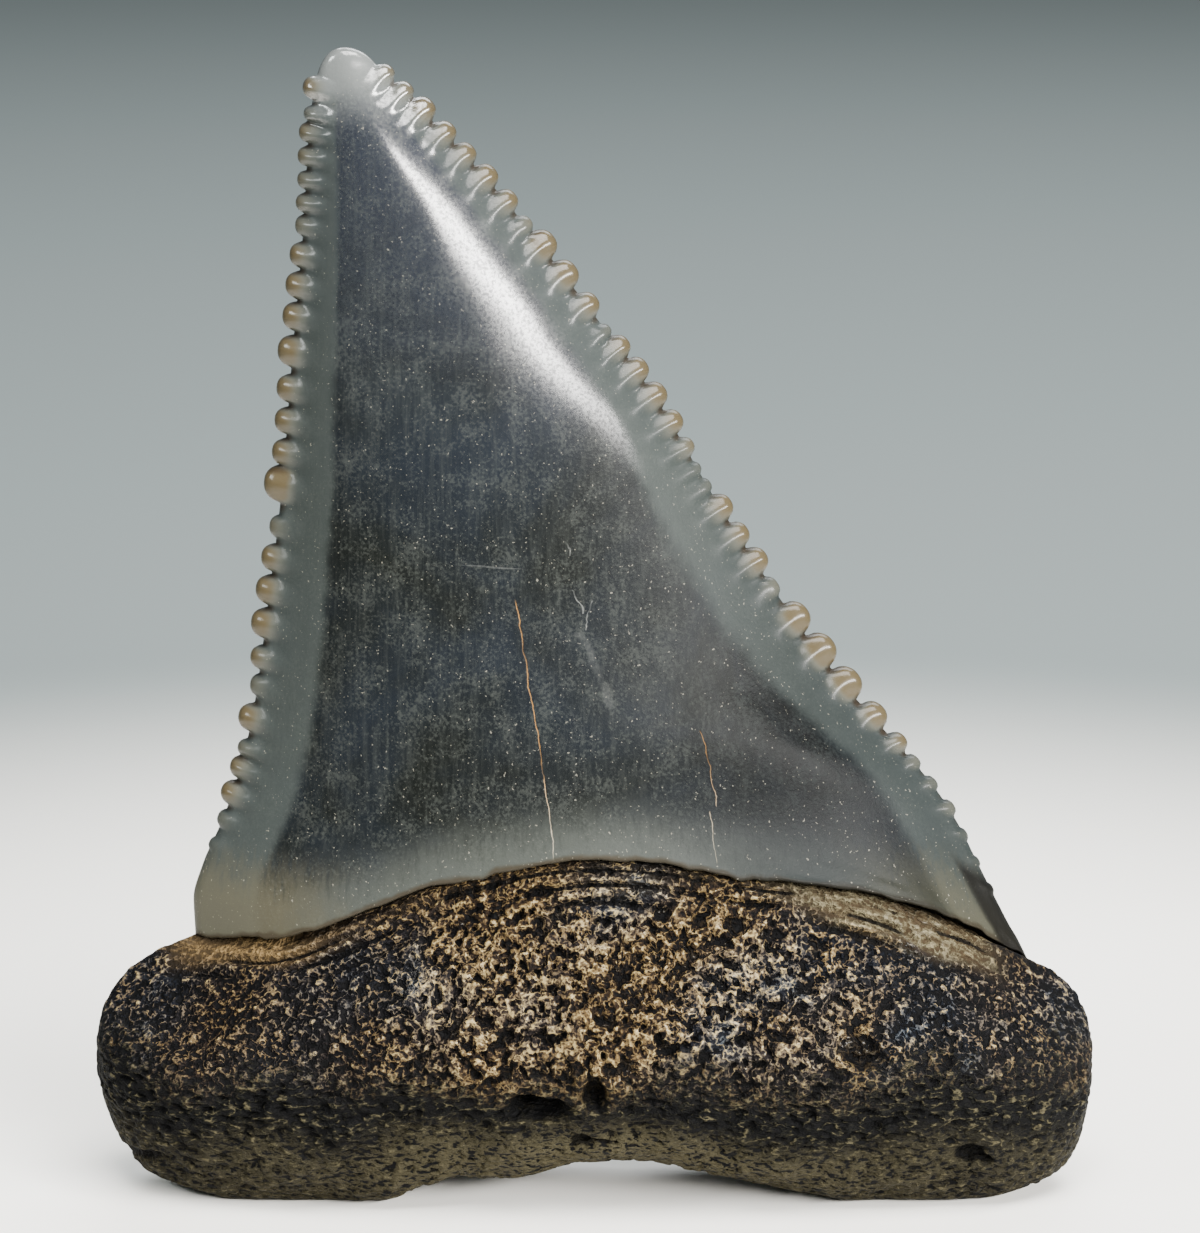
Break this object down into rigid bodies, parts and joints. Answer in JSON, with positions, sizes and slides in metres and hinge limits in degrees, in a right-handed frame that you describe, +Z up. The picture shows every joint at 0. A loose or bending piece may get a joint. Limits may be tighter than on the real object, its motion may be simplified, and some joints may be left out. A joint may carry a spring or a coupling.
{
  "type": "fossil great white shark tooth",
  "caption": "Fossil shark tooth: a broad, leaning triangular crown with beaded cutting edges on a pitted, lobed root, standing on the flat undersides of the lobes.",
  "frame": {"origin": "centre of the tooth's footprint box, on the plane it rests on", "axes": "+X along the root towards the heel side, the picture's right; +Y from the domed tongue side to the flatter lip side; +Z up from the resting plane to the crown tip"},
  "size_m": [0.0368, 0.0102, 0.0422],
  "materials": {
    "fossil_tooth": "mineralised tooth: glossy blue-grey enamel with cream serration beads, over a dark root with a cream and brown worm-like network"
  },
  "bodies": {
    "root": {"tooth": "fossil_tooth"}
  },
  "joints": []
}
